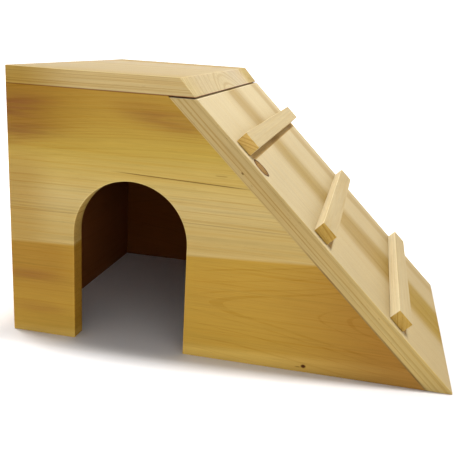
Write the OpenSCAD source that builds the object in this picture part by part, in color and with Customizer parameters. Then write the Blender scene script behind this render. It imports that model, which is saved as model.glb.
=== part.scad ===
// Wooden rabbit hideaway: a cabin with an arched doorway, a flat roof and a ramp with cleats.
// Millimetres. +X runs along the front from the cabin to the foot of the ramp, +Y goes from the
// front to the back, +Z is up. The origin is on the floor, under the middle of the whole object.

/* [Cabin] */
// Depth from the front face to the back face
cabin_depth = 311; // [250:1:400]
// Height of the front and back panels, up to the underside of the roof
panel_height = 261; // [215:1:320]
// Length of the level top edge of the front and back panels
panel_top_length = 165.5; // [135:0.5:210]
// Thickness of the wall and ramp boards
board = 19; // [15:0.5:24]
// Thickness of the roof boards
roof_thickness = 17.5; // [14:0.5:24]
// Length of the roof's underside that lies past the ramp's outer face
roof_overhang = 0; // [0:0.5:6]
// How far the roof's sloping end leans back from bottom to top
roof_bevel_run = 16; // [8:0.5:24]

/* [Ramp] */
// Floor length covered by the slope
ramp_run = 268.5; // [220:1:330]
// Height of the blunt edge at the foot of the ramp
toe_height = 2; // [1:0.5:6]
// Gap between the roof's underside and the top end of the ramp
ramp_top_gap = 1.2; // [0.5:0.1:3]

/* [Doorway] */
// Width of the doorway, and twice the radius of its arch
door_width = 119; // [95:1:140]
// Height of the doorway at the crown of its arch
door_height = 175.5; // [140:0.5:215]
// Distance from the left end of the front panel to the doorway
door_left = 70.5; // [45:0.5:90]

/* [Glued boards] */
// Height of the lower boards of the front panel
front_joint_height = 110; // [85:1:135]
// Height of the lower board of the back panel
back_joint_height = 128; // [100:1:155]
// Height of the lower board of the side wall
side_joint_height = 128; // [100:1:155]
// Width of the narrow back board of the roof and of the ramp
back_strip = 56; // [44:1:70]

/* [Cleats] */
// Width of a cleat, along the slope
cleat_width = 19; // [15:0.5:24]
// How far a cleat stands out of the ramp
cleat_height = 12.5; // [10:0.5:16]
// Distance along the slope from the ramp's top edge to the upper cleat
first_cleat = 54; // [44:1:66]
// Distance along the slope from one cleat to the next
cleat_pitch = 112; // [90:1:125]
// Distance from the ramp's front edge to the cleats
cleat_front_inset = 8.5; // [4:0.5:14]
// Distance from the ramp's back edge to the cleats
cleat_back_inset = 10; // [4:0.5:14]

/* [Dowels] */
// Diameter of a dowel
dowel_diameter = 8; // [6:0.5:9]
// Length of a dowel
dowel_length = 30; // [25:1:35]
// Depth of a dowel in the board whose face it enters
dowel_in_face = 11; // [8:0.5:12]
// Clearance round a dowel
dowel_clearance = 0.1; // [0.05:0.05:0.3]
// Free depth left at each end of a dowel
dowel_end_gap = 1; // [0.5:0.5:2]
// Distance from the end of a wall to the first roof dowel
roof_dowel_inset = 34; // [30:1:45]
// Distance from the edges of a side board to its corner dowels
corner_dowel_inset = 30; // [27:1:35]
// Distance along the slope from the panels' top to the first ramp dowel
ramp_dowel_top = 45; // [38:1:55]
// Distance along the slope from the floor to the last ramp dowel
ramp_dowel_foot = 85; // [75:1:100]
// Height of the middle ramp dowel over the panel's glue joint
ramp_dowel_over_joint = 45; // [40:1:55]

/* [Cleat screws] */
// Diameter of a screw's shank
screw_diameter = 3.5; // [3:0.1:4]
// Diameter of a screw's countersunk head
screw_head_diameter = 7; // [6:0.1:8]
// Length of a screw from the top of its head to its tip
screw_length = 28; // [25:1:28]
// Height of the head's cone
screw_head_height = 2.4; // [2:0.1:3]
// Length of the screw's point
screw_point = 4; // [3:0.5:5]
// Depth of the cross recess in the head
screw_recess_depth = 1.3; // [0.8:0.1:1.6]
// Width of a slot of the cross recess
screw_recess_width = 0.9; // [0.6:0.1:1.2]
// Clearance round a screw
screw_clearance = 0.08; // [0.05:0.01:0.2]
// Distance from the ends of a cleat to its outer screws
screw_inset = 35; // [30:1:38]

/* [Hidden] */
$fn = 64;
eps = 0.5;

// The slope of the ramp
ramp_angle = atan(panel_height / ramp_run);
slope_length = panel_height / sin(ramp_angle);
ramp_level_width = board / sin(ramp_angle);
panel_foot_length = panel_top_length + ramp_run;
toe_x = panel_foot_length + ramp_level_width - toe_height / tan(ramp_angle);

// The doorway
door_radius = door_width / 2;
door_centre = door_left + door_radius;
arch_height = door_height - door_radius;

// The roof
roof_length = panel_top_length + ramp_level_width + roof_overhang;

// The cleats run along Y, between their insets
cleat_length = cabin_depth - cleat_front_inset - cleat_back_inset;

// Where the overall box puts the origin
overall_length = toe_x;

WOOD_FRONT = [0.80, 0.66, 0.35];
WOOD_LOWER = [0.72, 0.55, 0.25];
WOOD_PALE = [0.90, 0.80, 0.60];
WOOD_RAMP = [0.89, 0.80, 0.60];
WOOD_STRIP = [0.84, 0.73, 0.50];
WOOD_CLEAT = [0.87, 0.77, 0.54];
DOWEL_WOOD = [0.78, 0.62, 0.42];
SCREW_ZINC = [0.75, 0.72, 0.62];

// Moves a shape from the corner frame, which starts at the cabin's front left foot, to the origin.
module centred() {
    translate([-overall_length / 2, -cabin_depth / 2, 0]) children();
}

// Extrudes an outline drawn in X and Z from y = from to y = to.
module along_depth(from, to) {
    translate([0, to, 0]) rotate([90, 0, 0]) linear_extrude(to - from) children();
}

// Puts a shape on the slope: its X runs down the slope from the panels' top corner, its Z points
// out of the slope, and z = 0 is the ramp's inner face, where it lies on the panels.
module on_slope(along, depth) {
    translate([panel_top_length, depth, panel_height])
        rotate([0, ramp_angle, 0])
            translate([along, 0, 0]) children();
}

// Outline of the front and back panels
module panel_outline() {
    polygon([
        [0, 0], [panel_foot_length, 0],
        [panel_top_length, panel_height], [0, panel_height]
    ]);
}

// Outline of the roof
module roof_outline() {
    translate([0, panel_height])
        polygon([
            [0, 0], [roof_length, 0],
            [roof_length - roof_bevel_run, roof_thickness], [0, roof_thickness]
        ]);
}

// Outline of the ramp, with its level top end and its blunt toe
module ramp_outline() {
    top_shift = ramp_top_gap / tan(ramp_angle);
    top_height = panel_height - ramp_top_gap;
    polygon([
        [panel_foot_length, 0], [toe_x, 0], [toe_x, toe_height],
        [panel_top_length + ramp_level_width + top_shift, top_height],
        [panel_top_length + top_shift, top_height]
    ]);
}

// A slab of the panel outline between two heights
module panel_band(from, to, low, high) {
    along_depth(from, to)
        intersection() {
            panel_outline();
            translate([0, low]) square([panel_foot_length, high - low]);
        }
}

// The solid that the doorway removes
module doorway() {
    translate([door_left, -eps, -eps]) cube([door_width, board + 2 * eps, arch_height + eps]);
    translate([door_centre, board + eps, arch_height])
        rotate([90, 0, 0]) cylinder(r = door_radius, h = board + 2 * eps, $fn = 128);
}

// One dowel, or the hole for it: z = 0 is the joint, and the face board is on its positive side.
module dowel(grow = 0, stretch = 0) {
    translate([0, 0, dowel_in_face - dowel_length - stretch])
        cylinder(d = dowel_diameter + 2 * grow, h = dowel_length + 2 * stretch);
}

module dowel_hole() {
    dowel(dowel_clearance, dowel_end_gap);
}

// Dowels that stand in the walls' top edges and reach into the roof
module at_roof_dowels() {
    near = roof_dowel_inset;
    far = panel_top_length - roof_dowel_inset;
    for (y = [board / 2, cabin_depth - board / 2])
        for (x = [near, far])
            translate([x, y, panel_height]) children();
    for (y = [board + roof_dowel_inset, cabin_depth - board - roof_dowel_inset])
        translate([board / 2, y, panel_height]) children();
}

// Dowels that lie in the side wall's ends and reach into the front and back panels
module at_corner_dowels() {
    heights = [
        corner_dowel_inset, side_joint_height - corner_dowel_inset,
        side_joint_height + corner_dowel_inset, panel_height - corner_dowel_inset
    ];
    for (z = heights) {
        translate([board / 2, board, z]) rotate([90, 0, 0]) children();
        translate([board / 2, cabin_depth - board, z]) rotate([-90, 0, 0]) children();
    }
}

// Dowels that stand square to the slope, in the panels' sloping edges, and reach into the ramp
module at_ramp_dowels() {
    for (side = [0, 1]) {
        joint = side == 0 ? front_joint_height : back_joint_height;
        y = side == 0 ? board / 2 : cabin_depth - board / 2;
        middle = (panel_height - joint - ramp_dowel_over_joint) / sin(ramp_angle);
        for (along = [ramp_dowel_top, middle, slope_length - ramp_dowel_foot])
            on_slope(along, y) children();
    }
}

// Screws that go from under the ramp into the middle line of each cleat
module at_cleat_screws(cleats = [0, 1, 2]) {
    for (i = cleats)
        for (y = [screw_inset, cleat_length / 2, cleat_length - screw_inset])
            on_slope(cleat_start(i) + cleat_width / 2, cleat_front_inset + y) children();
}

// Where a cleat starts, measured along the ramp's inner face: the level top end of the ramp's
// outer face lies further down the slope than that of its inner face.
function cleat_start(i) = ramp_level_width * cos(ramp_angle) + first_cleat + i * cleat_pitch;

// Outline of a countersunk screw, or of the hole for it
module screw_profile(grow) {
    r = screw_diameter / 2 + grow;
    head = screw_head_diameter / 2 + grow;
    polygon([
        [0, 0], [head, 0], [r, screw_head_height],
        [r, screw_length - screw_point], [0, screw_length + grow]
    ]);
}

module screw() {
    difference() {
        rotate_extrude() screw_profile(0);
        for (turn = [0, 90])
            rotate([0, 0, turn])
                translate([-screw_head_diameter * 0.3, -screw_recess_width / 2, -eps])
                    cube([screw_head_diameter * 0.6, screw_recess_width, screw_recess_depth + eps]);
    }
}

module screw_hole() {
    rotate_extrude() screw_profile(screw_clearance);
    translate([0, 0, -eps])
        cylinder(d = screw_head_diameter + 2 * screw_clearance, h = eps);
}

// A board of the front panel, between two heights, with the doorway and the dowel holes
module front_board(low, high) {
    difference() {
        panel_band(0, board, low, high);
        doorway();
        at_roof_dowels() dowel_hole();
        at_corner_dowels() dowel_hole();
        at_ramp_dowels() dowel_hole();
    }
}

module front_upper_board() {
    color(WOOD_FRONT) centred() front_board(front_joint_height, panel_height);
}

module front_lower_left_board() {
    color(WOOD_LOWER) centred()
        intersection() {
            front_board(0, front_joint_height);
            translate([-eps, -eps, -eps]) cube([door_left + 2 * eps, board + 2 * eps, panel_height]);
        }
}

module front_lower_right_board() {
    color(WOOD_LOWER) centred()
        intersection() {
            front_board(0, front_joint_height);
            translate([door_left + door_width - eps, -eps, -eps])
                cube([panel_foot_length, board + 2 * eps, panel_height]);
        }
}

// A board of the back panel, between two heights, with the dowel holes
module back_board(low, high) {
    difference() {
        panel_band(cabin_depth - board, cabin_depth, low, high);
        at_roof_dowels() dowel_hole();
        at_corner_dowels() dowel_hole();
        at_ramp_dowels() dowel_hole();
    }
}

module back_upper_board() {
    color(WOOD_FRONT) centred() back_board(back_joint_height, panel_height);
}

module back_lower_board() {
    color(WOOD_LOWER) centred() back_board(0, back_joint_height);
}

// A board of the side wall, between two heights, with the dowel holes
module side_board(low, high) {
    difference() {
        translate([0, board, low]) cube([board, cabin_depth - 2 * board, high - low]);
        at_roof_dowels() dowel_hole();
        at_corner_dowels() dowel_hole();
    }
}

module side_upper_board() {
    color(WOOD_STRIP) centred() side_board(side_joint_height, panel_height);
}

module side_lower_board() {
    color(WOOD_FRONT) centred() side_board(0, side_joint_height);
}

// A board of the roof, between two depths, with the dowel holes
module roof_board(front, back) {
    difference() {
        along_depth(front, back) roof_outline();
        at_roof_dowels() dowel_hole();
    }
}

module roof_front_board() {
    color(WOOD_PALE) centred() roof_board(0, cabin_depth - back_strip);
}

module roof_back_board() {
    color(WOOD_STRIP) centred() roof_board(cabin_depth - back_strip, cabin_depth);
}

// A board of the ramp, between two depths, with the holes for dowels and screws
module ramp_board(front, back) {
    difference() {
        along_depth(front, back) ramp_outline();
        at_ramp_dowels() dowel_hole();
        at_cleat_screws() screw_hole();
    }
}

module ramp_front_board() {
    color(WOOD_RAMP) centred() ramp_board(0, cabin_depth - back_strip);
}

module ramp_back_board() {
    color(WOOD_STRIP) centred() ramp_board(cabin_depth - back_strip, cabin_depth);
}

// A cleat, counted from the top of the ramp
module cleat(i) {
    difference() {
        on_slope(cleat_start(i), cleat_front_inset)
            translate([0, 0, board]) cube([cleat_width, cleat_length, cleat_height]);
        at_cleat_screws([i]) screw_hole();
    }
}

module upper_cleat() {
    color(WOOD_CLEAT) centred() cleat(0);
}

module middle_cleat() {
    color(WOOD_CLEAT) centred() cleat(1);
}

module lower_cleat() {
    color(WOOD_CLEAT) centred() cleat(2);
}

module roof_dowels() {
    color(DOWEL_WOOD) centred() at_roof_dowels() dowel();
}

module corner_dowels() {
    color(DOWEL_WOOD) centred() at_corner_dowels() dowel();
}

module ramp_dowels() {
    color(DOWEL_WOOD) centred() at_ramp_dowels() dowel();
}

module cleat_screws() {
    color(SCREW_ZINC) centred() at_cleat_screws() screw();
}

front_upper_board();
front_lower_left_board();
front_lower_right_board();
back_upper_board();
back_lower_board();
side_upper_board();
side_lower_board();
roof_front_board();
roof_back_board();
ramp_front_board();
ramp_back_board();
upper_cleat();
middle_cleat();
lower_cleat();
roof_dowels();
corner_dowels();
ramp_dowels();
cleat_screws();
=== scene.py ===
"""A wooden rabbit hideaway: a cabin with an arched doorway, a flat roof and a ramp with cleats.

The boards keep the sizes of the frame; this script eases their arrises, and gives each its wood.
"""
import math
import bmesh
import bpy
import numpy as np
from mathutils import Matrix, Vector
from mathutils.bvhtree import BVHTree


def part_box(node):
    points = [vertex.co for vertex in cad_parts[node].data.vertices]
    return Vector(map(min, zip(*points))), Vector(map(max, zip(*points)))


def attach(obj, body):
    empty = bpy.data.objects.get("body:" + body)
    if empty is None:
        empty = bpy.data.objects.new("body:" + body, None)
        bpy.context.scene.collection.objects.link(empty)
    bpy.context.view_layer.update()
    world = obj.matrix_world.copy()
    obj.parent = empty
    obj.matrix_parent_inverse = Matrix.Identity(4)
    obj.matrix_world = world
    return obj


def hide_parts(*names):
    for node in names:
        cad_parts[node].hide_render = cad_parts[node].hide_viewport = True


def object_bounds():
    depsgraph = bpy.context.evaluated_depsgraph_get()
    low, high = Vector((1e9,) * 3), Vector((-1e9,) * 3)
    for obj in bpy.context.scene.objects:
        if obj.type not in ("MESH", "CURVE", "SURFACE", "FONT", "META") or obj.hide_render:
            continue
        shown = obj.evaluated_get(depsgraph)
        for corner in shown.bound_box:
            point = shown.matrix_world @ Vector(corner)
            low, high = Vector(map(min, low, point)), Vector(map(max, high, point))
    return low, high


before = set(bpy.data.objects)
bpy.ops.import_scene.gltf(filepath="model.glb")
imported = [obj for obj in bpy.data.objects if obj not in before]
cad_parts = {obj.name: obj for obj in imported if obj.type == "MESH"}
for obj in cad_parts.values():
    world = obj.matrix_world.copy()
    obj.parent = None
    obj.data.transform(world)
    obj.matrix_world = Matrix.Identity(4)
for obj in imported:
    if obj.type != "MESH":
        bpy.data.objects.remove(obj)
cad_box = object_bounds()

MM = 0.001
X_AXIS = Vector((1, 0, 0))
Y_AXIS = Vector((0, 1, 0))
Z_AXIS = Vector((0, 0, 1))

# ---------------------------------------------------------------------------------------------
# Sizes and directions that the frame gives
# ---------------------------------------------------------------------------------------------

WHOLE_LOW, WHOLE_HIGH = (Vector(corner) for corner in cad_box)
UPPER_LOW, UPPER_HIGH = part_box("front_upper_board")
RIGHT_LOW, RIGHT_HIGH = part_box("front_lower_right_board")
ROOF_LOW, ROOF_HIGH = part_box("roof_front_board")
SIDE_LOW, SIDE_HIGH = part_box("side_lower_board")
RAMP_LOW, RAMP_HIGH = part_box("ramp_front_board")

BOARD = SIDE_HIGH.x - SIDE_LOW.x
SLOPE = math.atan2(UPPER_LOW.z - RIGHT_LOW.z, RIGHT_HIGH.x - UPPER_HIGH.x)
DOWN_SLOPE = Vector((math.cos(SLOPE), 0, -math.sin(SLOPE)))
OUT_OF_SLOPE = Vector((math.sin(SLOPE), 0, math.cos(SLOPE)))

# The ramp's outer face starts at the height of the ramp's level top end.
FOOT_X = RIGHT_HIGH.x + BOARD / math.sin(SLOPE)
RAMP_TOP_X = FOOT_X - RAMP_HIGH.z / math.tan(SLOPE)
RAMP_START = Vector((RAMP_TOP_X, RAMP_LOW.y, RAMP_HIGH.z))

BOARDS = {
    "front_upper_board": "panel_wood", "front_lower_left_board": "panel_wood",
    "front_lower_right_board": "panel_wood", "back_upper_board": "panel_wood",
    "back_lower_board": "panel_wood", "side_upper_board": "side_wood",
    "side_lower_board": "side_wood", "roof_front_board": "roof_wood",
    "roof_back_board": "roof_wood", "ramp_front_board": "ramp_wood",
    "ramp_back_board": "ramp_wood",
}
CLEATS = ("upper_cleat", "middle_cleat", "lower_cleat")
DOWELS = ("roof_dowels", "corner_dowels", "ramp_dowels")

# How far the arrises are eased, and the least face whose arrises are eased.
ARRIS = 0.9 * MM
ARRIS_STEPS = 3
SMALLEST_EASED = 30 * MM * MM

# Surfaces closer than this lie against each other.
TOUCH = 0.05 * MM

DOWEL_CHAMFER = 0.9 * MM
FLUTES = 16
FLUTE_DEPTH = 0.35 * MM

SCREW_RADIUS = 1.75 * MM
SCREW_HEAD_RADIUS = 3.5 * MM
SCREW_HEAD_HEIGHT = 2.4 * MM
SCREW_POINT = 4 * MM
SCREW_PITCH = 1.6 * MM
THREAD_DEPTH = 0.45 * MM
PLAIN_SHANK = 8 * MM
RECESS_WIDTH = 0.9 * MM
RECESS_DEPTH = 1.3 * MM
SCREW_INSET = 35 * MM
SCREW_CLEARANCE = 0.08 * MM


def points_of(node):
    """The points of a node's mesh."""
    return [vert.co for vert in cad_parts[node].data.vertices]


def reach_along(node, direction):
    """The lowest and highest place of a node along a direction."""
    reach = [direction.dot(point) for point in points_of(node)]
    return min(reach), max(reach)


def roof_end_normal():
    """The direction out of the roof's sloping end, which runs back to the top face."""
    top = [point.x for point in points_of("roof_front_board") if point.z > ROOF_HIGH.z - TOUCH]
    return Vector((ROOF_HIGH.z - ROOF_LOW.z, 0, ROOF_HIGH.x - max(top))).normalized()


ROOF_END = roof_end_normal()


# ---------------------------------------------------------------------------------------------
# Node trees written as Python
# ---------------------------------------------------------------------------------------------

class Value:
    """A node's output socket, with the arithmetic that adds Math nodes."""

    def __init__(self, graph, socket):
        self.graph = graph
        self.socket = socket

    def __add__(self, other):
        return self.graph.math("ADD", self, other)

    def __sub__(self, other):
        return self.graph.math("SUBTRACT", self, other)

    def __rsub__(self, other):
        return self.graph.math("SUBTRACT", other, self)

    def __mul__(self, other):
        return self.graph.math("MULTIPLY", self, other)

    def __truediv__(self, other):
        return self.graph.math("DIVIDE", self, other)

    def __rtruediv__(self, other):
        return self.graph.math("DIVIDE", other, self)

    def __pow__(self, other):
        return self.graph.math("POWER", self, other)

    __radd__ = __add__
    __rmul__ = __mul__


class Graph:
    """A node tree of a material or of a geometry modifier."""

    def __init__(self, tree):
        self.tree = tree

    def add(self, kind, settings=None, sockets=None):
        """Adds a node: its settings first, then the values or links of its sockets."""
        node = self.tree.nodes.new(kind)
        for name, setting in (settings or {}).items():
            if name == "stops":
                self.set_stops(node.color_ramp, setting)
            else:
                setattr(node, name, setting)
        for name, given in (sockets or {}).items():
            if isinstance(given, Value):
                self.tree.links.new(given.socket, node.inputs[name])
            else:
                node.inputs[name].default_value = given
        return node

    @staticmethod
    def set_stops(ramp, stops):
        """Gives a colour ramp its stops, each a place and a colour."""
        while len(ramp.elements) < len(stops):
            ramp.elements.new(0.5)
        for element, (place, colour) in zip(ramp.elements, stops):
            element.position = place
            element.color = colour

    def value(self, kind, settings=None, sockets=None, output=0):
        """Adds a node and gives one of its outputs."""
        return Value(self, self.add(kind, settings, sockets).outputs[output])

    def math(self, operation, *terms):
        """Adds a Math node on values or numbers."""
        return self.value("ShaderNodeMath", {"operation": operation}, dict(enumerate(terms)))

    def step(self, value, low, high):
        """0 below low, 1 above high and a smooth rise between them."""
        settings = {"interpolation_type": "SMOOTHSTEP"}
        sockets = {"Value": value, "From Min": low, "From Max": high}
        return self.value("ShaderNodeMapRange", settings, sockets)

    def hypot(self, a, b):
        """The length of a flat vector of two values."""
        return self.math("SQRT", a * a + b * b)

    def blend(self, factor, first, second, how="MIX"):
        """The first colour turning into the second as the factor rises from 0 to 1."""
        settings = {"data_type": "RGBA", "blend_type": how, "clamp_factor": True}
        sockets = {"Factor": factor, 6: first, 7: second}
        return self.value("ShaderNodeMix", settings, sockets, output=2)

    def times(self, colour, tone):
        """A colour multiplied by another."""
        return self.blend(1.0, colour, tone, how="MULTIPLY")

    def grey(self, value):
        """A number as a colour."""
        sockets = {"Red": value, "Green": value, "Blue": value}
        return self.value("ShaderNodeCombineColor", {}, sockets)


def tint(red, green, blue):
    """A display colour, 0 to 255, as the linear colour that shaders use."""
    def linear(level):
        part = level / 255
        return part / 12.92 if part <= 0.04045 else ((part + 0.055) / 1.055) ** 2.4
    return (linear(red), linear(green), linear(blue), 1)


# ---------------------------------------------------------------------------------------------
# Wood
# ---------------------------------------------------------------------------------------------

class Wood:
    """The wood of one board, worked out in the board's own millimetres.

    u runs along the grain, v across the board's face and n out of it, all from origin.
    """

    def __init__(self, name, origin, grain, across, seed):
        self.material = bpy.data.materials.new(name)
        self.material.use_nodes = True
        self.material.node_tree.nodes.clear()
        self.graph = Graph(self.material.node_tree)
        axes = Matrix((grain, across, grain.cross(across))).transposed()
        here = self.graph.value("ShaderNodeTexCoord", output="Object")
        self.place = self.graph.value("ShaderNodeMapping", {"vector_type": "TEXTURE"}, {
            "Vector": here, "Location": origin, "Rotation": axes.to_euler(), "Scale": (MM, MM, MM)})
        split = self.graph.add("ShaderNodeSeparateXYZ", {}, {0: self.place})
        self.u, self.v, self.n = (Value(self.graph, output) for output in split.outputs)
        self.axes = axes
        self.seed = seed

    def noise(self, lengths, detail=2.0, roughness=0.5):
        """Noise from -0.5 to 0.5 whose features have these lengths along u, v and n."""
        self.seed += 1
        shift = Vector((37.1, 11.7, 23.3)) * self.seed
        scaled = self.graph.value("ShaderNodeVectorMath", {"operation": "MULTIPLY_ADD"}, {
            0: self.place, 1: tuple(1 / length for length in lengths), 2: shift})
        return self.graph.value("ShaderNodeTexNoise", {}, {
            "Vector": scaled, "Scale": 1.0, "Detail": detail, "Roughness": roughness}) - 0.5

    def toward(self, direction):
        """How squarely the surface faces along a direction, from -1 to 1."""
        normal = self.graph.value("ShaderNodeNewGeometry", output="True Normal")
        sockets = {0: normal, 1: tuple(direction)}
        return self.graph.value("ShaderNodeVectorMath", {"operation": "DOT_PRODUCT"}, sockets,
                                output="Value")

    def facing(self, direction):
        """How squarely the surface faces along a direction, either way."""
        return self.graph.math("ABSOLUTE", self.toward(direction))

    def band(self, across, middle, half, soft):
        """1 within half of the middle, falling to 0 over soft."""
        away = self.graph.math("ABSOLUTE", across - middle)
        return 1 - self.graph.step(away, half, half + soft)

    def spot(self, along, across, u_radius, v_radius, core=0.3, lean=0.0):
        """1 at a place on the face, falling to 0 at its edge; it leans by a share of u."""
        rise = self.v - across - (self.u - along) * lean
        reach = self.graph.hypot((self.u - along) / u_radius, rise / v_radius)
        return 1 - self.graph.step(reach, core, 1.0)

    def stroke(self, start, end, width, soft=0.6):
        """A hairline between two places on the face, tapering at both ends."""
        lean = (end[1] - start[1]) / (end[0] - start[0])
        middle = (start[0] + end[0]) / 2
        half = abs(end[0] - start[0]) / 2
        away = self.graph.math("ABSOLUTE", self.v - start[1] - (self.u - start[0]) * lean)
        along = self.graph.math("ABSOLUTE", self.u - middle)
        taper = 1 - self.graph.step(along, half * 0.55, half)
        return (1 - self.graph.step(away, width / 2, width / 2 + soft)) * taper

    def ring_radius(self, pith_v, pith_n, bow=None, sway=6.0):
        """Distance from the pith, which wanders with sway.

        bow is a pair: how strongly the pith bends, and where along u it comes nearest.
        """
        wander = (self.noise((240, 60, 60), detail=1.0) * sway
                  + self.noise((70, 18, 18)) * (sway / 5))
        radius = self.graph.hypot(self.v - pith_v, self.n - pith_n) + wander
        if bow:
            off = self.u - bow[1]
            radius = radius + off * off * (bow[0] * 1e-4)
        return radius

    def growth(self, radius, pitch, detail=3.0):
        """Uneven growth, -0.5 to 0.5, which follows the rings about a pitch apart."""
        return self.graph.value("ShaderNodeTexNoise", {"noise_dimensions": "1D"}, {
            "W": radius / pitch + self.seed * 7.31, "Scale": 1.0, "Detail": detail,
            "Roughness": 0.6}) - 0.5

    def finish(self, colour, relief, roughness):
        """The thin clear finish over the colour."""
        bump = self.graph.value("ShaderNodeBump", {}, {
            "Strength": 0.5, "Distance": 0.25 * MM, "Height": relief})
        shader = self.graph.value("ShaderNodeBsdfPrincipled", {}, {
            "Base Color": colour, "Roughness": roughness, "Normal": bump,
            "Specular IOR Level": 0.01, "IOR": 1.45})
        self.graph.add("ShaderNodeOutputMaterial", {}, {"Surface": shader})
        return self.material


# Tones that multiply a board's colour where the wood is cut, and the painted shade inside the
# cabin, painted highlight on the arrises and painted shadow below the cleats.
LATE_WOOD = (0.76, 0.68, 0.54, 1)
EDGE_WOOD = (0.88, 0.80, 0.58, 1)
END_WOOD = (0.80, 0.70, 0.50, 1)
# Painted shade for the faces within the cabin.
INSIDE_SHADE = (0.36, 0.18, 0.17, 1)
# A painted highlight for the eased arrises.
ARRIS_HIGHLIGHT = (1.22, 1.26, 1.38, 1)
# Painted shadow for the strip below each cleat.
CLEAT_SHADOW_TINT = (0.72, 0.56, 0.30, 1)
LOW_SIDE = (1.08, 1.05, 0.80, 1)


def paint_wood(wood, colour, late, edge=0.0, end=END_WOOD, inside=None, contrast=1.0):
    """Adds the late wood, the fibres, the cut faces and a painted highlight on the eased arrises,
    and finishes the board.

    late is 0 to 1, edge is how much deeper the long edges are in tone, end is the tone of the
    ends, inside is 1 on the faces within the cabin, which are given painted shade, and contrast
    is how lively the streaks are.
    """
    graph = wood.graph
    fine = wood.noise((30, 0.5, 0.5), detail=3.0, roughness=0.6)
    streak = wood.noise((160, 2.0, 2.0), detail=4.0, roughness=0.6)
    broad = wood.noise((330, 7.0, 7.0), detail=2.0)
    pores = graph.step(wood.noise((9, 0.6, 0.6), detail=1.0), 0.18, 0.28)

    def deepen(tone, share):
        return graph.blend(share, colour, graph.times(colour, tone))

    ends = graph.step(wood.facing(wood.axes.col[0]), 0.5, 0.8)
    colour = deepen(LATE_WOOD, late + (broad * 0.8 + streak * 1.2) * (1 - ends * 0.8) * contrast)
    across = graph.step(wood.facing(wood.axes.col[1]), 0.6, 0.9)
    colour = deepen(EDGE_WOOD, across * edge)
    colour = deepen(end, ends)
    value = 1 + fine * 0.34 + (streak * 0.28 + broad * 0.14) * contrast - pores * 0.16
    colour = deepen(graph.grey(value), 1.0)
    # Painted shade: the faces within the cabin are darkened as if in shade.
    if inside is not None:
        colour = deepen(INSIDE_SHADE, inside)
    arris = graph.value("ShaderNodeAttribute", {"attribute_name": "arris"}, output="Fac")
    # Painted highlight: the eased arrises are lightened as if catching the light.
    colour = deepen(ARRIS_HIGHLIGHT, arris * 0.7)
    relief = fine * 0.6 + streak * 0.5 - late * 0.35 - pores * 0.5
    roughness = 0.50 + streak * 0.16 + late * 0.08 + ends * 0.15
    return wood.finish(colour, relief, roughness)


def shade_by(wood, place, length, stops):
    """A colour that changes across the board: stops are places in millimetres and colours."""
    scaled = [(at / length, tint(*colour)) for at, colour in stops]
    return wood.graph.value("ShaderNodeValToRGB", {"stops": scaled}, {0: place / length})


def inner_face(wood):
    """1 on the face that looks into the cabin, which lies a board's thickness down."""
    return wood.graph.step(-1 * wood.n, BOARD / MM - 1.2, BOARD / MM - 0.3)


def front_figure(wood, low, upper):
    """The front's late wood: loops low on the right, arched lines above, level lines between."""
    graph = wood.graph
    right = graph.step(wood.u, 170, 230)
    cone = wood.ring_radius(60, -16, sway=14) - wood.u * 0.14
    loops = graph.step(wood.growth(cone, 3.0, detail=3.0), 0.09, 0.15)
    off = (wood.u - 175) / 175
    arched = wood.v + off * off * 13 + wood.noise((230, 40, 40), detail=1.0) * 9
    arches = graph.step(wood.growth(arched, 2.6, detail=4.0), -0.12, 0.2)
    level = wood.growth(wood.v + wood.noise((260, 50, 50), detail=1.0) * 7, 2.8, detail=4.0)
    lines = graph.step(level, 0.02, 0.2)
    return (loops * low * right * 0.36 + arches * upper * 0.5
            + lines * (1 - upper) * (0.55 - low * 0.2))


def front_clouds(wood, colour, low, upper, left_low):
    """The browner ends of the front panel, and the reddish clouds of its heartwood."""
    graph = wood.graph
    wavy = wood.noise((60, 5, 5), detail=4.0) * 2.4 + 0.8
    left_top = (1 - graph.step(wood.u, 15, 115)) * graph.step(wood.v, 190, 235)
    colour = graph.blend(left_top * 0.75, colour, tint(136, 98, 34))
    left_mid = (1 - graph.step(wood.u, 12, 60)) * (1 - upper) * (1 - low)
    colour = graph.blend(left_mid * 0.75, colour, tint(160, 129, 67))
    deeper = left_low * (0.25 + graph.step(wood.v, 35, 70) * 0.45)
    colour = graph.blend(deeper, colour, tint(144, 106, 44))
    tip = graph.step(wood.u, 240, 430) * low
    colour = graph.blend(tip * 0.85, colour, tint(134, 92, 40))
    blush = (wood.spot(8, 240, 66, 19, core=0.0, lean=0.1) * 0.8
             + wood.spot(2, 214, 80, 19, core=0.0, lean=0.15) * 0.7
             + wood.spot(22, 66, 50, 10, core=0.0) * 0.55
             + wood.spot(162, 240, 70, 18, core=0.0, lean=-0.15) * 0.6
             + wood.spot(20, 30, 60, 10, core=0.0) * 0.4)
    return graph.blend(blush * wavy, colour, tint(124, 79, 44))


def front_marks(wood, colour):
    """The hairline checks above the doorway, painted shade of the thin gap under the roof, and the
    pin knot.
    """
    hairs = (wood.stroke((104, 184.6), (262, 179.4), 0.4) * 0.75
             + wood.stroke((-60, 134), (92, 137.5), 0.3) * 0.3
             + wood.stroke((150, 141), (330, 140), 0.3) * 0.3
             + wood.stroke((222, 206), (233, 204), 0.5) * 0.5
             + wood.stroke((214, 190), (228, 190), 0.4) * 0.4)
    # Painted shade: a dark line under the roof, standing in for the shade in the thin gap there.
    gap_shade = wood.band(wood.v, 261, 0.3, 0.5) * wood.graph.step(wood.u, 50, 120) * 0.6
    pin = wood.spot(314.5, 6.7, 3.4, 2.6, core=0.4) + wood.spot(309, 5.4, 4, 1.0) * 0.5
    colour = wood.graph.blend(hairs + gap_shade, colour, tint(92, 62, 26))
    return wood.graph.blend(pin, colour, tint(72, 38, 18))


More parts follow.
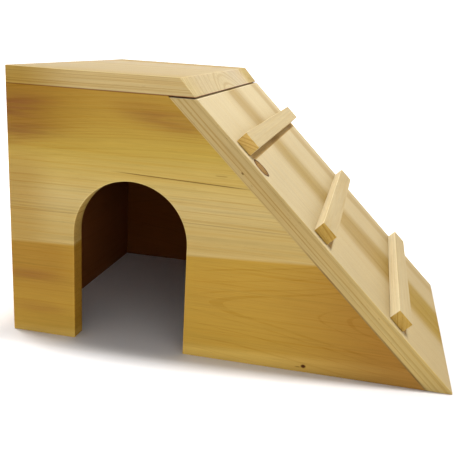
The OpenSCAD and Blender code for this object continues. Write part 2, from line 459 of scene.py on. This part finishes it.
def front_wood():
    """The front panel, in millimetres from its lower left corner."""
    wood = Wood("front panel wood", WHOLE_LOW, X_AXIS, Z_AXIS, 10)
    graph = wood.graph
    height = wood.v - wood.u * 0.035 + wood.noise((200, 45, 45), detail=1.0) * 7
    # Painted light: the few millimetres at the very bottom are lighter, as if lit from the floor.
    colour = shade_by(wood, height, 261.0, [
        (2, (196, 163, 82)), (8, (178, 143, 62)), (16, (170, 135, 55)), (60, (165, 130, 54)),
        (100, (168, 134, 56)), (102.5, (180, 156, 100)), (108, (173, 148, 90)),
        (128, (178, 154, 96)), (150, (183, 161, 106)), (175, (181, 156, 88)),
        (200, (174, 147, 68)), (235, (164, 131, 55)), (261, (162, 127, 54))])
    low = 1 - graph.step(height, 98, 104)
    upper = graph.step(height, 165, 215)
    left_low = (1 - graph.step(wood.u, 40, 110)) * low
    late = front_figure(wood, low, upper)
    colour = front_clouds(wood, colour, low, upper, left_low)
    colour = front_marks(wood, colour)
    straw = (1 - low) * (1 - upper)
    contrast = 1.6 + straw * 0.9 + left_low * 0.6
    return paint_wood(wood, colour, late, inside=inner_face(wood), contrast=contrast)


def back_wood():
    """The back panel, seen from behind, in millimetres from its lower left corner there."""
    corner = Vector((WHOLE_HIGH.x, WHOLE_HIGH.y, 0))
    wood = Wood("back panel wood", corner, -1 * X_AXIS, Z_AXIS, 60)
    graph = wood.graph
    height = wood.v + wood.noise((200, 45, 45), detail=1.0) * 4
    colour = shade_by(wood, height, 261.0, [
        (4, (186, 150, 78)), (60, (176, 138, 62)), (125, (182, 146, 70)), (130, (202, 172, 108)),
        (190, (198, 164, 92)), (261, (184, 146, 72))])
    low = 1 - graph.step(wood.v, 127.5, 128.5)
    loops = wood.growth(wood.ring_radius(66, -18, sway=14) + wood.u * 0.16, 3.2)
    arched = wood.growth(wood.ring_radius(330, -60, bow=(5, 300), sway=8), 4.4)
    late = (graph.step(loops, 0.05, 0.18) * low * 0.4
            + graph.step(arched, 0.02, 0.25) * (1 - low) * 0.45)
    return paint_wood(wood, colour, late, inside=inner_face(wood), contrast=1.4)


def side_wood():
    """The side wall, in millimetres from its lower back corner, seen from the left."""
    corner = Vector((WHOLE_LOW.x, WHOLE_HIGH.y, 0))
    wood = Wood("side wall wood", corner, -1 * Y_AXIS, Z_AXIS, 110)
    graph = wood.graph
    height = wood.v + wood.noise((200, 45, 45), detail=1.0) * 4
    colour = shade_by(wood, height, 261.0, [
        (4, (190, 156, 84)), (70, (196, 160, 88)), (126, (186, 150, 76)), (130, (176, 138, 66)),
        (200, (192, 156, 86)), (261, (198, 164, 96))])
    late = graph.step(wood.growth(wood.ring_radius(90, -50, bow=(6, 120), sway=8), 4.0), 0.02, 0.25)
    return paint_wood(wood, colour, late * 0.45, inside=inner_face(wood), contrast=1.4)


def roof_wood(name, seed, strip):
    """The roof, in millimetres from its lower front left corner."""
    wood = Wood(name, ROOF_LOW, X_AXIS, Y_AXIS, seed)
    graph = wood.graph
    if strip:
        colour = shade_by(wood, wood.v, 311.0, [
            (255, (188, 168, 132)), (259, (176, 155, 112)), (285, (162, 139, 86)),
            (311, (166, 144, 98))])
        radius = wood.ring_radius(285, -30, sway=3)
    else:
        colour = shade_by(wood, wood.v + wood.noise((220, 40, 40)) * 30, 311.0, [
            (0, (173, 152, 106)), (50, (173, 154, 117)), (140, (176, 157, 118)),
            (220, (175, 158, 126)), (255, (177, 156, 120))])
        radius = wood.ring_radius(150, -70, sway=5)
    ends = graph.step(wood.facing(X_AXIS), 0.5, 0.8)
    rings = graph.step(wood.growth(radius, 5.0, detail=2.0), -0.05, 0.2)
    late = rings * (0.35 + ends * 0.25)
    front = graph.step(wood.toward(-1 * Y_AXIS), 0.6, 0.9)
    lines = wood.growth(wood.n + wood.noise((200, 20, 3)) * 3, 2.4, detail=3.0)
    late = late + graph.step(lines, 0.0, 0.12) * front * 0.9
    # Painted shade: the top face is darkened by a tenth to even out the strong light falling on it.
    top = graph.step(wood.toward(Z_AXIS), 0.8, 0.95)
    colour = graph.blend(top * 0.1, colour, (0, 0, 0, 1))
    colour = graph.blend(front * 0.5, colour, tint(196, 172, 118))
    left = (1 - graph.step(wood.u, 10, 90)) * front
    colour = graph.blend(left * 0.9, colour, tint(154, 123, 54))
    # Painted shade: the roof's underside, within the cabin, is darkened.
    inside_shade = 1 - graph.step(wood.n, 0.2, 1.2)
    return paint_wood(wood, colour, late, end=(1.0, 1.04, 1.12, 1), inside=inside_shade, contrast=2.0)


def ramp_tones(wood, widen):
    """The ramp's pale wood with a brown heart band, and where that band is."""
    graph = wood.graph
    across = wood.v + wood.noise((180, 40, 40), detail=2.0) * 20
    pale = shade_by(wood, wood.u, 376.0, [
        (20, (183, 167, 132)), (120, (178, 161, 124)), (240, (174, 155, 115)),
        (345, (169, 149, 107))])
    deep = shade_by(wood, wood.u, 376.0, [
        (20, (158, 136, 92)), (120, (154, 131, 80)), (240, (151, 125, 72)),
        (345, (147, 119, 46))])
    away = graph.math("ABSOLUTE", across - 150 - widen * 6)
    heart = 1 - graph.step(away, 6 + widen * 20, 48 + widen * 18)
    fibre = wood.noise((120, 6, 6), detail=3.0)
    colour = graph.blend(heart * (0.95 + fibre * 0.6), pale, deep)
    colour = graph.blend(wood.band(across, 279, 6, 14) * 0.5, colour, tint(150, 124, 70))
    return colour, heart


def ramp_knot(wood, colour):
    """A brown knot with a dark rim, below the upper cleat at the front edge."""
    graph = wood.graph
    bent = wood.noise((9, 9, 9), detail=2.0) * 3
    reach = graph.hypot((wood.u + bent - 87) / 10.5, (wood.v + bent - 14) / 9.0)
    knot = 1 - graph.step(reach, 0.86, 1.0)
    swirl = graph.step(wood.growth(reach * 10, 1.5), -0.15, 0.15)
    rim = wood.band(reach, 0.93, 0.06, 0.10)
    brown = graph.blend(swirl, tint(104, 72, 32), tint(150, 117, 66))
    colour = graph.blend(knot, colour, brown)
    return graph.blend(rim * 0.9, colour, tint(70, 42, 18))


def ramp_marks(wood, side):
    """The split in the knot, painted shade of the gap along the lower edge, and the specks and
    fleck of the side.
    """
    graph = wood.graph
    split = wood.stroke((86, 3), (96, 6), 0.5) * 0.7
    broken = wood.noise((30, 3, 3)) + 0.75
    # Painted shade: a dark line near the side's lower edge, standing in for the shade in the gap
    # against the front panel.
    gap_shade = graph.step(-1 * wood.n, 17.2, 18.2) * graph.step(wood.u, 130, 230) * broken * side
    specks = graph.step(wood.noise((5, 1.2, 1.2), detail=1.0), 0.17, 0.3) * side * 0.4
    fleck = wood.band(graph.hypot((wood.u - 79) / 2.2, (wood.n + 14) / 1.2), 0.0, 0.4, 0.6) * side
    return split + gap_shade * 0.9 + specks + fleck * 0.7


def painted_shadow_below_cleats(wood):
    """1 in the strip just down the slope of each cleat, where painted shadow browns and deepens the
    shadow that the cleat casts.
    """
    feet = [(reach_along(node, DOWN_SLOPE)[1] - RAMP_START.dot(DOWN_SLOPE)) / MM
            for node in CLEATS]
    cleat_shadow = sum(wood.band(wood.u, foot + 2.5, 3, 1) for foot in feet)
    top = wood.graph.step(wood.toward(OUT_OF_SLOPE), 0.8, 0.95)
    return cleat_shadow * (top * wood.graph.step(wood.v, 10, 14))


def ramp_wood(name, seed):
    """The ramp's boards, in millimetres down the slope and back from the outer top edge."""
    wood = Wood(name, RAMP_START, DOWN_SLOPE, Y_AXIS, seed)
    graph = wood.graph
    widen = graph.step(wood.u, 60, 360)
    colour, heart = ramp_tones(wood, widen)
    rings = wood.growth(wood.ring_radius(150, -45, bow=(1, 160), sway=7), 5.0, detail=4.0)
    late = graph.step(rings, -0.05, 0.25) * (0.16 + heart * 0.26)
    colour = ramp_knot(wood, colour)
    side = graph.step(wood.facing(Y_AXIS), 0.6, 0.9)
    marks = ramp_marks(wood, side)
    # Painted shadow: the strip down the slope of each cleat is darkened and browned.
    colour = graph.blend(painted_shadow_below_cleats(wood), colour, graph.times(colour, CLEAT_SHADOW_TINT))
    colour = graph.blend(side * widen, colour, graph.times(colour, LOW_SIDE))
    colour = graph.blend(marks, colour, tint(84, 52, 20))
    lines = wood.growth(wood.n + wood.noise((160, 20, 3)) * 3, 3.0, detail=3.0)
    late = late + graph.step(lines, 0.0, 0.14) * side * 0.85
    # Painted shade: the ramp's underside is darkened.
    inside_shade = inner_face(wood) * graph.step(wood.facing(wood.axes.col[2]), 0.6, 0.9)
    return paint_wood(wood, colour, late, edge=1.1 - widen, inside=inside_shade,
                      contrast=1.5 + side * 0.8)


def cleat_wood(name, seed):
    """The cleats, each cut from its own stretch of the same batten."""
    wood = Wood(name, RAMP_START, Y_AXIS, -1 * DOWN_SLOPE, seed)
    graph = wood.graph
    tone = wood.noise((240, 30, 30)) * 1.5 + 0.5
    colour = graph.blend(tone, tint(176, 159, 122), tint(166, 146, 104))
    # Painted light: the up-slope side of each cleat is lightened as if the light fell on it.
    painted_lit_side = graph.step(wood.toward(-1 * DOWN_SLOPE), 0.6, 0.9)
    colour = graph.blend(painted_lit_side * 0.75, colour, tint(224, 207, 168))
    rings = wood.growth(wood.ring_radius(-150, -160, sway=5), 2.6, detail=2.0)
    ends = graph.step(wood.facing(Y_AXIS), 0.5, 0.8)
    late = graph.step(rings, -0.05, 0.15) * (0.25 + ends * 0.6)
    paler = graph.step(wood.v, -130, -110) * ends
    colour = graph.blend(paler * 0.7, colour, tint(196, 178, 150))
    return paint_wood(wood, colour, late, end=(1.04, 0.86, 0.40, 1), contrast=1.3)


# ---------------------------------------------------------------------------------------------
# Boards
# ---------------------------------------------------------------------------------------------

def merged_copy(node):
    """The frame's mesh of a node as a bmesh, with its triangles joined into flat faces."""
    solid = bmesh.new()
    solid.from_mesh(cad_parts[node].data)
    bmesh.ops.remove_doubles(solid, verts=solid.verts, dist=0.002 * MM)
    bmesh.ops.dissolve_limit(solid, angle_limit=math.radians(0.4), verts=solid.verts,
                             edges=solid.edges, delimit={"NORMAL"})
    return solid


def surface_of(node):
    """A board's surface, for finding the places that touch it."""
    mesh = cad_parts[node].data
    return BVHTree.FromPolygons([vert.co for vert in mesh.vertices],
                                [face.vertices for face in mesh.polygons])


BOARD_SURFACES = {node: surface_of(node) for node in BOARDS}


def is_joint(node, edge):
    """Whether an edge lies against another board, where it stays crisp."""
    start, end = (vert.co for vert in edge.verts)
    for other, surface in BOARD_SURFACES.items():
        if other == node:
            continue
        for part in (0.1, 0.5, 0.9):
            found = surface.find_nearest(start.lerp(end, part), TOUCH)
            if found[0] is not None:
                return True
    return False


def eased_board(node, material):
    """A board with eased arrises, crisp where it is glued to the next board."""
    solid = merged_copy(node)
    weight = solid.edges.layers.float.new("bevel_weight_edge")
    for edge in solid.edges:
        if len(edge.link_faces) != 2 or edge.calc_face_angle(0) < math.radians(20):
            continue
        if min(face.calc_area() for face in edge.link_faces) < SMALLEST_EASED:
            continue
        edge[weight] = 0.0 if is_joint(node, edge) else 1.0
    mesh = bpy.data.meshes.new(node + "_eased")
    solid.to_mesh(mesh)
    solid.free()
    board = bpy.data.objects.new(node + "_eased", mesh)
    bpy.context.scene.collection.objects.link(board)
    easing = board.modifiers.new("Easing", "BEVEL")
    easing.limit_method = "WEIGHT"
    easing.width = ARRIS
    easing.segments = ARRIS_STEPS
    easing.use_clamp_overlap = True
    bake(board)
    mark_arrises(board.data)
    board.data.materials.append(material)
    return board


def bake(piece):
    """Turns a piece and its modifiers into a plain mesh."""
    graph = bpy.context.evaluated_depsgraph_get()
    plain = bpy.data.meshes.new_from_object(piece.evaluated_get(graph))
    plain.name = piece.name
    piece.modifiers.clear()
    piece.data = plain


def mark_arrises(mesh):
    """Smooths what is round, and stores on each face whether it belongs to an eased arris."""
    mark = mesh.attributes.new("arris", "FLOAT", "FACE")
    flats = [X_AXIS, Y_AXIS, Z_AXIS, DOWN_SLOPE, OUT_OF_SLOPE, ROOF_END]
    for face in mesh.polygons:
        square = max(abs(face.normal.dot(flat)) for flat in flats)
        corners = [mesh.vertices[index].co for index in face.vertices]
        longest = max((a - b).length for a, b in zip(corners, corners[1:] + corners[:1]))
        face.use_smooth = square < 0.9999
        narrow = face.area < 0.7 * ARRIS * max(longest, ARRIS)
        mark.data[face.index].value = 1.0 if square < 0.9999 and narrow else 0.0


# ---------------------------------------------------------------------------------------------
# Pieces that repeat
# ---------------------------------------------------------------------------------------------

def islands(node):
    """The separate solids of a node, as arrays of points."""
    solid = merged_copy(node)
    left = set(solid.verts)
    found = []
    while left:
        stack = [left.pop()]
        points = []
        while stack:
            vert = stack.pop()
            points.append(vert.co.copy())
            for edge in vert.link_edges:
                other = edge.other_vert(vert)
                if other in left:
                    left.remove(other)
                    stack.append(other)
        found.append(np.array(points))
    solid.free()
    return sorted(found, key=lambda points: tuple(points.mean(0).round(5)))


def long_axis(points):
    """The direction in which a slim solid is longest, and its two ends along it."""
    middle = (points.min(0) + points.max(0)) / 2
    _, vectors = np.linalg.eigh(np.cov((points - middle).T))
    axis = Vector(vectors[:, -1]).normalized()
    reach = points @ np.array(axis)
    return axis, reach.min(), reach.max()


def seat_points(seats):
    """A mesh of bare points with an axis each, for a tree to set its copies on."""
    mesh = bpy.data.meshes.new("seats")
    mesh.from_pydata([place for place, _ in seats], [], [])
    axis = mesh.attributes.new("axis", "FLOAT_VECTOR", "POINT")
    axis.data.foreach_set("vector", [part for _, direction in seats for part in direction])
    return mesh


def new_tree(name, sizes):
    """An empty geometry tree with named inputs, and the values they carry."""
    tree = bpy.data.node_groups.new(name, "GeometryNodeTree")
    tree.interface.new_socket("Geometry", in_out="INPUT", socket_type="NodeSocketGeometry")
    tree.interface.new_socket("Geometry", in_out="OUTPUT", socket_type="NodeSocketGeometry")
    for size in sizes:
        tree.interface.new_socket(size, in_out="INPUT", socket_type="NodeSocketFloat")
    graph = Graph(tree)
    source = graph.add("NodeGroupInput")
    return graph, {output.name: Value(graph, output) for output in source.outputs if output.name}


def grow(name, mesh, graph, sizes):
    """Runs a tree on a mesh and keeps the result as a plain mesh."""
    piece = bpy.data.objects.new(name, mesh)
    bpy.context.scene.collection.objects.link(piece)
    modifier = piece.modifiers.new("Shape", "NODES")
    modifier.node_group = graph.tree
    for item in graph.tree.interface.items_tree:
        if item.in_out == "INPUT" and item.name in sizes:
            modifier[item.identifier] = sizes[item.name]
    bake(piece)
    return piece


def set_on_seats(graph, source, shape, material):
    """Sets the shape on each seat, its Z along the seat's axis, and ends the tree."""
    axis = graph.value("GeometryNodeInputNamedAttribute", {"data_type": "FLOAT_VECTOR"},
                       {"Name": "axis"})
    turn = graph.value("FunctionNodeAlignRotationToVector", {"axis": "Z"}, {"Vector": axis})
    placed = graph.value("GeometryNodeInstanceOnPoints", {}, {
        "Points": source["Geometry"], "Instance": shape, "Rotation": turn})
    finish_tree(graph, placed, material)


def finish_tree(graph, shape, material):
    """Makes the copies real, gives them their material and ends the tree."""
    real = graph.value("GeometryNodeRealizeInstances", {}, {"Geometry": shape})
    painted = graph.value("GeometryNodeSetMaterial", {}, {"Geometry": real, "Material": material})
    graph.add("NodeGroupOutput", {}, {"Geometry": painted})


def turned(graph, rounds, rows, radius, height):
    """A closed turned shape: radius and height are worked out from the turn and the row."""
    sheet = graph.add("GeometryNodeMeshGrid", {}, {
        "Size X": 1.0, "Size Y": 1.0, "Vertices X": rows, "Vertices Y": rounds + 1})
    place = graph.value("GeometryNodeInputPosition")
    split = graph.add("ShaderNodeSeparateXYZ", {}, {0: place})
    row = Value(graph, split.outputs[0]) + 0.5
    angle = (Value(graph, split.outputs[1]) + 0.5) * math.tau
    z = height(row)
    r = radius(row, angle, z)
    spot = graph.value("ShaderNodeCombineXYZ", {}, {
        0: r * graph.math("COSINE", angle), 1: r * graph.math("SINE", angle), 2: z})
    moved = graph.value("GeometryNodeSetPosition", {}, {
        "Geometry": Value(graph, sheet.outputs["Mesh"]), "Position": spot})
    closed = graph.value("GeometryNodeMergeByDistance", {}, {
        "Geometry": moved, "Distance": 0.001 * MM})
    return graph.value("GeometryNodeFlipFaces", {}, {"Mesh": closed})


def dowel_tree():
    """A fluted dowel with chamfered ends, standing on each seat's middle."""
    graph, size = new_tree("Fluted dowel", ("Radius", "Length", "Chamfer", "Flute depth", "Flutes"))
    radius, length, chamfer = size["Radius"], size["Length"], size["Chamfer"]

    def height(row):
        run = row * (length + radius * 2) - radius
        return graph.math("MINIMUM", graph.math("MAXIMUM", run, 0.0), length) - length / 2

    def reach(row, angle, z):
        run = row * (length + radius * 2)
        end = graph.math("MINIMUM", run, length + radius * 2 - run)
        from_end = length / 2 - graph.math("ABSOLUTE", z)
        slant = radius - chamfer + from_end
        flute = graph.math("ABSOLUTE", graph.math("SINE", angle * size["Flutes"] / 2))
        cut = (1 - flute) * size["Flute depth"] * graph.step(from_end, 0.0005, 0.0012)
        return graph.math("MAXIMUM", graph.math("MINIMUM", graph.math("MINIMUM", end, radius),
                                                slant), 0.0) - cut

    shape = turned(graph, 32, 40, reach, height)
    return graph, size, shape


def loose_dowels(material):
    """All the dowels, each on its seat in the frame."""
    seats = []
    for points in [solid for node in DOWELS for solid in islands(node)]:
        axis, low, high = long_axis(points)
        middle = (points.min(0) + points.max(0)) / 2
        seats.append((Vector(middle), axis))
    off_axis = np.linalg.norm(np.cross(points - middle, np.array(axis)), axis=1)
    graph, size, shape = dowel_tree()
    set_on_seats(graph, size, shape, material)
    sizes = {"Radius": float(off_axis.max()), "Length": float(high - low),
             "Chamfer": DOWEL_CHAMFER, "Flute depth": FLUTE_DEPTH, "Flutes": float(FLUTES)}
    return grow("fluted_dowels", seat_points(seats), graph, sizes)


def screw_tree():
    """A countersunk screw with a cross recess and a thread, its head's top on the seat.

    The recess is cut by two slots, the second a little shallower so that no faces coincide.
    """
    names = ("Radius", "Head radius", "Head height", "Length", "Point", "Pitch", "Thread depth",
             "Plain shank")
    graph, size = new_tree("Countersunk screw", names)
    radius, head, length = size["Radius"], size["Head radius"], size["Length"]
    total = length + head

    def height(row):
        return graph.math("MAXIMUM", row * total - head, 0.0)

    def reach(row, angle, z):
        disc = row * total
        cone = head - (head - radius) * graph.math("MINIMUM", z / size["Head height"], 1.0)
        point = (length - z) * radius / size["Point"]
        body = graph.math("MINIMUM", graph.math("MINIMUM", disc, cone), point)
        turn = graph.math("FRACT", z / size["Pitch"] - angle / math.tau)
        ridge = graph.math("ABSOLUTE", turn * 2 - 1)
        threaded = graph.step(z, size["Plain shank"], size["Plain shank"] + 0.002)
        cut = size["Thread depth"] * (1 - ridge ** 3) * threaded * (body / radius)
        return graph.math("MAXIMUM", body - cut, 0.0)

    blank = turned(graph, 24, 120, reach, height)
    slot_size = graph.value("ShaderNodeCombineXYZ", {}, {
        0: head * 1.2, 1: RECESS_WIDTH, 2: RECESS_DEPTH * 2})
    slot = graph.value("GeometryNodeMeshCube", {}, {"Size": slot_size})
    cross = graph.value("GeometryNodeTransform", {}, {
        "Geometry": slot, "Rotation": (0, 0, math.pi / 2), "Scale": (1, 1, 0.9)})
    cut = graph.add("GeometryNodeMeshBoolean", {"operation": "DIFFERENCE"}, {"Mesh 1": blank})
    graph.tree.links.new(slot.socket, cut.inputs["Mesh 2"])
    graph.tree.links.new(cross.socket, cut.inputs["Mesh 2"])
    return graph, size, Value(graph, cut.outputs["Mesh"])


def cleat_screws(material):
    """The screws, each driven from under the ramp into a cleat."""
    seats = []
    for points in islands("cleat_screws"):
        axis, low, high = long_axis(points)
        out = axis if axis.dot(OUT_OF_SLOPE) > 0 else -axis
        reach = points @ np.array(out)
        middle = Vector((points[reach > reach.max() - 2 * MM]).mean(0))
        seats.append((middle - out * (out.dot(middle) - float(reach.min())), out))
        length = float(reach.max() - reach.min())
    graph, size, shape = screw_tree()
    set_on_seats(graph, size, shape, material)
    sizes = {"Radius": SCREW_RADIUS, "Head radius": SCREW_HEAD_RADIUS,
             "Head height": SCREW_HEAD_HEIGHT, "Length": length, "Point": SCREW_POINT,
             "Pitch": SCREW_PITCH, "Thread depth": THREAD_DEPTH, "Plain shank": PLAIN_SHANK}
    return grow("countersunk_screws", seat_points(seats), graph, sizes)


def eased_batten(graph, size):
    """A batten with rounded arrises: the hull round a small ball at each corner."""
    ease = size["Easing"]
    inner = graph.value("ShaderNodeCombineXYZ", {}, {
        0: size["Width"] - ease * 2, 1: size["Length"] - ease * 2, 2: size["Height"] - ease * 2})
    corners = graph.value("GeometryNodeMeshCube", {}, {"Size": inner})
    ball = graph.value("GeometryNodeMeshUVSphere", {}, {
        "Segments": 16, "Rings": 8, "Radius": ease})
    balls = graph.value("GeometryNodeInstanceOnPoints", {}, {"Points": corners, "Instance": ball})
    real = graph.value("GeometryNodeRealizeInstances", {}, {"Geometry": balls})
    return graph.value("GeometryNodeConvexHull", {}, {"Geometry": real})


def screw_holes(graph, size):
    """The three holes up into a batten's lower face."""
    hole = graph.value("GeometryNodeMeshCylinder", {}, {
        "Vertices": 24, "Radius": size["Hole radius"], "Depth": size["Hole depth"] * 2})
    first = graph.value("ShaderNodeCombineXYZ", {}, {
        1: size["Hole inset"] - size["Length"] / 2, 2: size["Height"] * -0.5})
    step = graph.value("ShaderNodeCombineXYZ", {}, {1: size["Length"] / 2 - size["Hole inset"]})
    row = graph.value("GeometryNodeMeshLine", {}, {
        "Count": 3, "Start Location": first, "Offset": step})
    holes = graph.value("GeometryNodeInstanceOnPoints", {}, {"Points": row, "Instance": hole})
    return graph.value("GeometryNodeRealizeInstances", {}, {"Geometry": holes})


def ramp_cleats(material):
    """The cleats: battens eased all round, with the holes for their screws."""
    names = ("Length", "Width", "Height", "Easing", "Hole radius", "Hole depth", "Hole inset")
    graph, size = new_tree("Eased batten", names)
    drilled = graph.value("GeometryNodeMeshBoolean", {"operation": "DIFFERENCE"}, {
        "Mesh 1": eased_batten(graph, size), "Mesh 2": screw_holes(graph, size)})
    set_on_seats(graph, size, drilled, material)
    seats = []
    for node in CLEATS:
        low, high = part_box(node)
        seats.append(((low + high) / 2, OUT_OF_SLOPE))
    first_node = CLEATS[0]
    along = reach_along(first_node, DOWN_SLOPE)
    out = reach_along(first_node, OUT_OF_SLOPE)
    depth = reach_along(first_node, Y_AXIS)
    screws_out = reach_along("cleat_screws", OUT_OF_SLOPE)
    sizes = {"Length": depth[1] - depth[0], "Width": along[1] - along[0],
             "Height": out[1] - out[0], "Easing": ARRIS,
             "Hole radius": SCREW_RADIUS + SCREW_CLEARANCE,
             "Hole depth": screws_out[1] - out[0], "Hole inset": SCREW_INSET}
    return grow("ramp_cleats", seat_points(seats), graph, sizes)


# ---------------------------------------------------------------------------------------------
# Other materials
# ---------------------------------------------------------------------------------------------

def beech(name):
    """Plain pale beech for the dowels."""
    wood = Wood(name, WHOLE_LOW, Z_AXIS, X_AXIS, 90)
    fleck = wood.graph.step(wood.noise((2.0, 0.4, 0.4)), 0.1, 0.2)
    tone = wood.noise((20, 3, 3)) + 0.4
    colour = wood.graph.blend(tone, tint(214, 180, 136), tint(188, 146, 100))
    return paint_wood(wood, colour, fleck * 0.4)


def zinc(name):
    """Yellow zinc plating on steel."""
    material = bpy.data.materials.new(name)
    material.use_nodes = True
    material.node_tree.nodes.clear()
    graph = Graph(material.node_tree)
    here = graph.value("ShaderNodeTexCoord", output="Object")
    cloud = graph.value("ShaderNodeTexNoise", {}, {"Vector": here, "Scale": 260.0, "Detail": 3.0})
    colour = graph.blend(cloud, tint(206, 190, 150), tint(188, 178, 160))
    shader = graph.value("ShaderNodeBsdfPrincipled", {}, {
        "Base Color": colour, "Metallic": 1.0, "Roughness": cloud * 0.2 + 0.25})
    graph.add("ShaderNodeOutputMaterial", {}, {"Surface": shader})
    return material


# ---------------------------------------------------------------------------------------------
# Studio
# ---------------------------------------------------------------------------------------------

def paper(name):
    """White backdrop paper, which glows away from the object so that it stays white there."""
    material = bpy.data.materials.new(name)
    material.use_nodes = True
    material.node_tree.nodes.clear()
    graph = Graph(material.node_tree)
    here = graph.value("ShaderNodeTexCoord", output="Object")
    mottle = graph.value("ShaderNodeTexNoise", {}, {"Vector": here, "Scale": 3.0})
    colour = graph.blend(mottle, tint(236, 233, 232), tint(231, 229, 229))
    split = graph.add("ShaderNodeSeparateXYZ", {}, {0: here})
    beyond = []
    for output, reach in zip(split.outputs, WHOLE_HIGH.xy):
        off = graph.math("ABSOLUTE", Value(graph, output)) - reach
        beyond.append(graph.math("MAXIMUM", off, 0.0))
    near = graph.step(graph.hypot(*beyond), 0.0, 0.06)
    away = graph.value("ShaderNodeVectorMath", {"operation": "LENGTH"}, {0: here}, output="Value")
    glow = graph.grey(near * 0.45 + graph.step(away, 0.5, 1.8) * 0.35)
    shader = graph.value("ShaderNodeBsdfPrincipled", {}, {
        "Base Color": colour, "Roughness": 0.9, "Specular IOR Level": 0.1,
        "Emission Color": glow, "Emission Strength": 1.0})
    graph.add("ShaderNodeOutputMaterial", {}, {"Surface": shader})
    return material


def bowl_profile(flat=2.2, bend=0.8, wall=1.6, steps=12):
    """Radii and heights of the bowl: a flat floor, a quarter bend and an upright wall."""
    floor_z = WHOLE_LOW.z
    profile = [(0.0, floor_z), (0.6, floor_z), (flat, floor_z)]
    for i in range(1, steps + 1):
        angle = math.radians(90) * i / steps
        profile.append((flat + bend * math.sin(angle), floor_z + bend - bend * math.cos(angle)))
    profile.append((flat + bend, floor_z + wall))
    return profile


def studio_bowl(around=96):
    """A round floor that curves up into a wall all round the object."""
    bowl = bmesh.new()
    rings = []
    for radius, height in bowl_profile():
        turns = [math.tau * i / around for i in range(around)] if radius else [0.0]
        rings.append([bowl.verts.new((radius * math.cos(turn), radius * math.sin(turn), height))
                      for turn in turns])
    for inner, outer in zip(rings, rings[1:]):
        for i in range(around):
            j = (i + 1) % around
            ring = [inner[0]] if len(inner) == 1 else [inner[j], inner[i]]
            bowl.faces.new(ring + [outer[i], outer[j]])
    mesh = bpy.data.meshes.new("studio_bowl")
    bowl.to_mesh(mesh)
    bowl.free()
    mesh.shade_smooth()
    mesh.materials.append(paper("backdrop paper"))
    sheet = bpy.data.objects.new("studio_bowl", mesh)
    bpy.context.scene.collection.objects.link(sheet)


def soft_light(name, place, target, size, power):
    """A square soft light at a place, turned to a target."""
    light = bpy.data.lights.new(name, "AREA")
    light.shape = "SQUARE"
    light.size = size
    light.energy = power
    lamp = bpy.data.objects.new(name, light)
    lamp.location = place
    lamp.rotation_euler = (Vector(place) - Vector(target)).to_track_quat("Z", "Y").to_euler()
    bpy.context.scene.collection.objects.link(lamp)


def light_studio():
    """A dim white world, a small key light over the ramp and two softer lights."""
    world = bpy.data.worlds.new("studio")
    bpy.context.scene.world = world
    world.use_nodes = True
    world.node_tree.nodes.clear()
    graph = Graph(world.node_tree)
    glow = graph.value("ShaderNodeBackground", {}, {"Color": (1, 1, 1, 1), "Strength": 0.08})
    graph.add("ShaderNodeOutputWorld", {}, {"Surface": glow})
    soft_light("right", (0.42, 0.02, 1.24), (0.1, 0, 0.14), 0.2, 13.6)
    soft_light("left", (-0.85, 0.15, 1.32), (0.05, 0, 0.2), 0.5, 15.0)
    soft_light("front", (0.9, -1.5, 0.75), (0, 0, 0.12), 0.9, 2.7)
    bpy.context.scene.view_settings.view_transform = "Standard"


CAMERA_PLACE = (0.1258, -0.76427, 0.31608)
CAMERA_TURN = (10.98, 16.345, 3.536)
CAMERA_LENS = 51.317


def place_camera():
    """The camera looks at the front from a little to the right and above."""
    azimuth, elevation, roll = (math.radians(turn) for turn in CAMERA_TURN)
    back = Vector((math.sin(azimuth) * math.cos(elevation),
                   -math.cos(azimuth) * math.cos(elevation), math.sin(elevation)))
    right = Vector((math.cos(azimuth), math.sin(azimuth), 0))
    up = back.cross(right)
    x = math.cos(roll) * right + math.sin(roll) * up
    y = -math.sin(roll) * right + math.cos(roll) * up
    turn = Matrix((x, y, back)).transposed().to_4x4()
    data = bpy.data.cameras.new("camera")
    data.sensor_width = 36.0
    data.lens = CAMERA_LENS
    camera = bpy.data.objects.new("camera", data)
    camera.matrix_world = Matrix.Translation(CAMERA_PLACE) @ turn
    bpy.context.scene.collection.objects.link(camera)
    bpy.context.scene.camera = camera


# ---------------------------------------------------------------------------------------------
# Making
# ---------------------------------------------------------------------------------------------

def board_woods():
    """The wood of each board: the boards of one panel were laid up from the same plank."""
    front, back, side = front_wood(), back_wood(), side_wood()
    woods = {"front": front, "back": back, "side": side}
    shared = {node: woods[node.split("_")[0]] for node in BOARDS if node.split("_")[0] in woods}
    return shared | {
        "roof_front_board": roof_wood("roof wood", 160, strip=False),
        "roof_back_board": roof_wood("roof strip wood", 190, strip=True),
        "ramp_front_board": ramp_wood("ramp wood", 220),
        "ramp_back_board": ramp_wood("ramp strip wood", 250)}


def settle(piece, nodes):
    """Rides a finished piece on the body in place of its nodes."""
    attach(piece, "root")
    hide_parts(*nodes)


def make():
    """Sets the studio up, and makes every piece."""
    place_camera()
    light_studio()
    studio_bowl()
    woods = board_woods()
    for node, slot in BOARDS.items():
        settle(eased_board(node, woods[node]), [node])
    settle(ramp_cleats(cleat_wood("cleat wood", 280)), CLEATS)
    settle(loose_dowels(beech("dowel beech")), DOWELS)
    settle(cleat_screws(zinc("yellow zinc")), ["cleat_screws"])


make()
